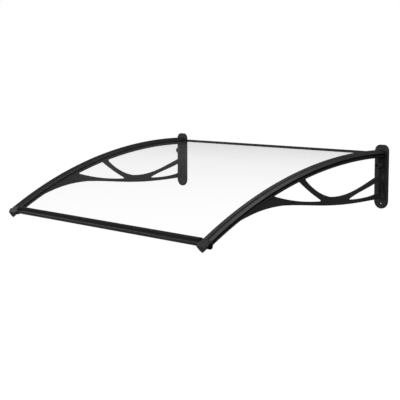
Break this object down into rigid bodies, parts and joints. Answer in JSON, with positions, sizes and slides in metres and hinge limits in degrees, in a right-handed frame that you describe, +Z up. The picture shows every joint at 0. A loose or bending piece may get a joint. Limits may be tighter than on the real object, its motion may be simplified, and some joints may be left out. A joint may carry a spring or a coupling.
{
  "type": "polycarbonate door canopy",
  "caption": "Curved clear sheet canopy on moulded wall brackets with curved openings, held by clamp strips, with a gutter bar in front and a sealed bar at the wall.",
  "frame": {"origin": "middle of the rear bar's back face, on the wall plane and midway between the brackets", "axes": "+X along the wall, +Y into the wall so the canopy reaches out towards -Y, +Z up"},
  "size_m": [1.054, 0.7902, 0.2692],
  "materials": {
    "bracket_plastic": "black moulded plastic with a fine satin grain",
    "painted_aluminium": "black satin paint on extruded aluminium",
    "clear_sheet": "clear solid polycarbonate, glossy on both faces",
    "rubber": "matt black rubber",
    "screw_steel": "black coated screw steel"
  },
  "bodies": {
    "root": {"left_bracket": "bracket_plastic", "right_bracket": "bracket_plastic", "polycarbonate_sheet": "clear_sheet", "left_clamp_strip": "painted_aluminium", "right_clamp_strip": "painted_aluminium", "left_gasket": "rubber", "right_gasket": "rubber", "left_clamp_screw_1": "screw_steel", "left_clamp_screw_2": "screw_steel", "left_clamp_screw_3": "screw_steel", "left_clamp_screw_4": "screw_steel", "left_clamp_screw_5": "screw_steel", "right_clamp_screw_1": "screw_steel", "right_clamp_screw_2": "screw_steel", "right_clamp_screw_3": "screw_steel", "right_clamp_screw_4": "screw_steel", "right_clamp_screw_5": "screw_steel", "left_end_screw": "screw_steel", "right_end_screw": "screw_steel", "left_end_cap": "bracket_plastic", "right_end_cap": "bracket_plastic", "front_bar": "painted_aluminium", "rear_bar": "painted_aluminium", "wall_seal": "rubber"}
  },
  "joints": []
}
